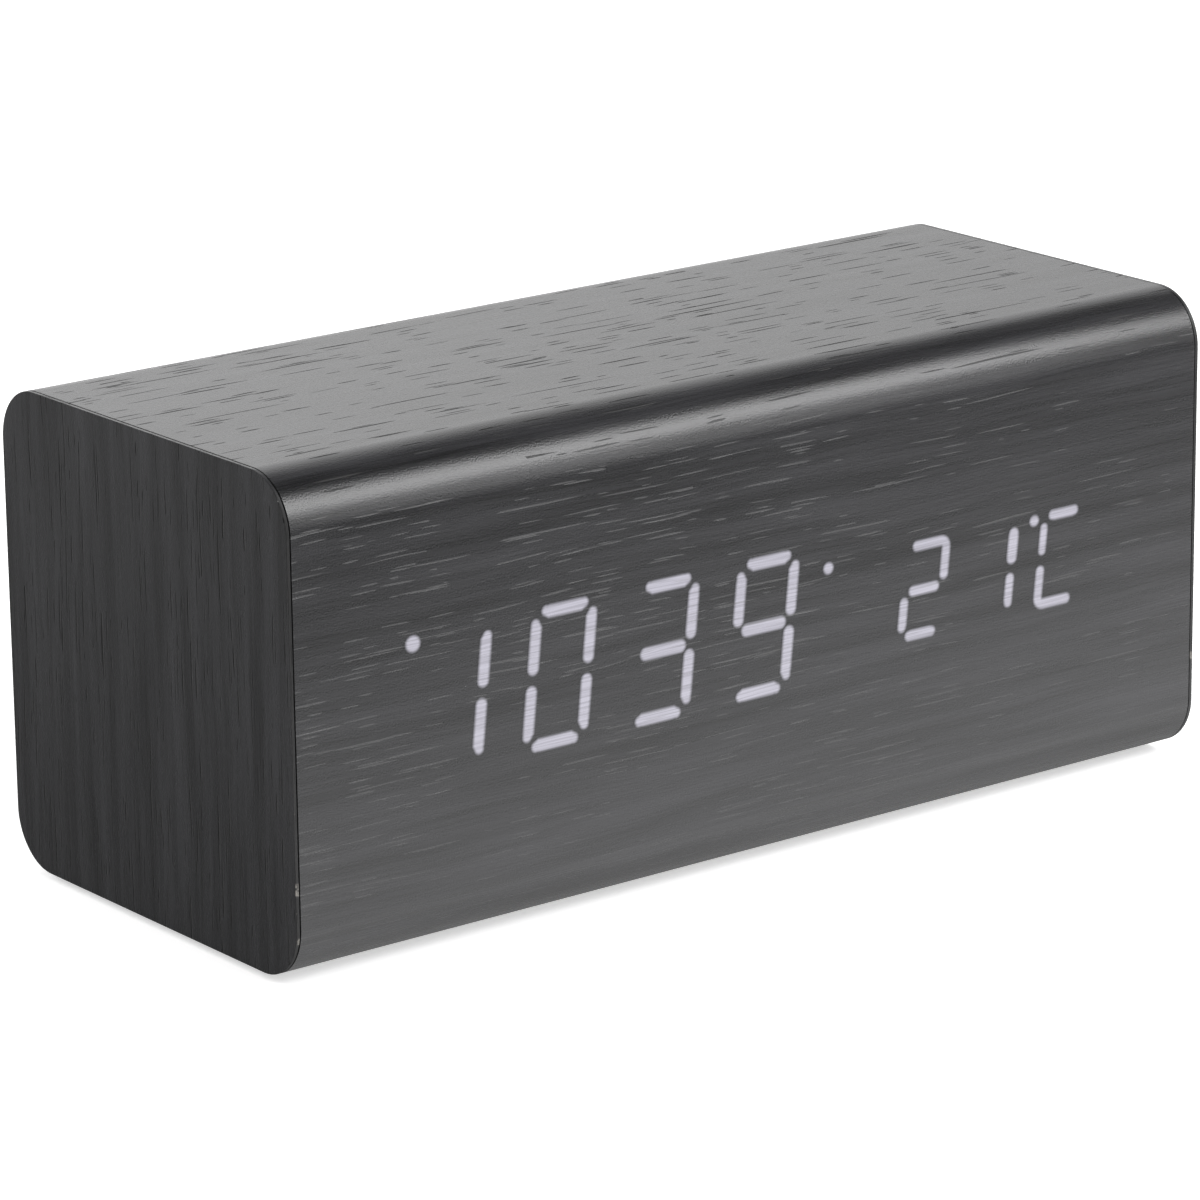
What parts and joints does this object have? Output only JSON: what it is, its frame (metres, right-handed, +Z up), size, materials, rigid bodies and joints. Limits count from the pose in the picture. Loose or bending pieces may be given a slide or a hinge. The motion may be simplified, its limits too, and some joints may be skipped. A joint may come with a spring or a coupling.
{
  "type": "digital alarm clock",
  "caption": "Veneered wooden block clock whose lit digits shine through the front, with push buttons, a power socket and a hinged battery door on a recessed rear panel.",
  "frame": {"origin": "on the table under the middle of the casing, level with the foot pads", "axes": "+X along the clock to the right as the reader sees it, the front faces -Y, +Z up"},
  "size_m": [0.16, 0.068, 0.07],
  "materials": {
    "stained_veneer": "black-stained open-pore veneer, satin lacquer",
    "fibreboard": "raw pressed fibreboard",
    "foot_foam": "matt foam pad",
    "milky_guide": "milky translucent",
    "white_plastic": "moulded matt white",
    "board_lacquer": "green lacquer on glass fibre",
    "chip_black": "moulded matt black",
    "bright_steel": "nickel-plated",
    "ribbon_grey": "grey ribbon insulation",
    "panel_black": "fine spark texture",
    "button_grey": "fine satin",
    "cell_wrap": "plain printed sleeve over a metal can",
    "lead_insulation": "smooth insulation",
    "tin_can": "bright drawn can",
    "clip_brass": "bright strip"
  },
  "bodies": {
    "clock": {"sleeve_veneer": "stained_veneer", "end_veneer_left": "stained_veneer", "end_veneer_right": "stained_veneer", "casing_sleeve": "fibreboard", "end_cap_left": "fibreboard", "end_cap_right": "fibreboard", "foot_pads": "foot_foam", "diffuser_film": "milky_guide", "time_segments": "milky_guide", "temperature_segments": "milky_guide", "indicator_dots": "milky_guide", "display_housing": "white_plastic", "segment_leds": "white_plastic", "display_connector": "white_plastic", "board_connector": "white_plastic", "display_board": "board_lacquer", "main_board": "board_lacquer", "display_drivers": "chip_black", "microcontroller": "chip_black", "voltage_regulator": "chip_black", "buzzer": "chip_black", "thermistor": "chip_black", "socket_tongue": "chip_black", "display_screws": "bright_steel", "panel_screws": "bright_steel", "board_screws": "bright_steel", "battery_contacts": "bright_steel", "battery_springs": "bright_steel", "switch_bodies": "bright_steel", "power_socket": "bright_steel", "ribbon_cable": "ribbon_grey", "rear_panel": "panel_black", "battery_bay": "panel_black", "battery_cells": "cell_wrap", "battery_leads": "lead_insulation", "microphone": "tin_can", "clock_crystal": "tin_can", "coin_cell": "tin_can", "capacitor": "tin_can", "coin_cell_clip": "clip_brass"},
    "set_key": {"set_button": "button_grey", "set_switch_plunger": "chip_black"},
    "up_key": {"up_button": "button_grey", "up_switch_plunger": "chip_black"},
    "down_key": {"down_button": "button_grey", "down_switch_plunger": "chip_black"},
    "battery_cover": {"battery_door": "panel_black"}
  },
  "joints": [
    {"name": "set_press", "type": "slide", "parent": "clock", "child": "set_key", "axis": [0, -1, 0], "range_m": [0, 0.0005], "stiffness_N_per_m": 2000},
    {"name": "up_press", "type": "slide", "parent": "clock", "child": "up_key", "axis": [0, -1, 0], "range_m": [0, 0.0005], "stiffness_N_per_m": 2000},
    {"name": "down_press", "type": "slide", "parent": "clock", "child": "down_key", "axis": [0, -1, 0], "range_m": [0, 0.0005], "stiffness_N_per_m": 2000},
    {"name": "battery_door_swing", "type": "hinge", "parent": "clock", "child": "battery_cover", "pos_m": [-0.02583, 0.0328, 0.017], "axis": [-1, 0, 0], "range_deg": [0, 80]}
  ]
}
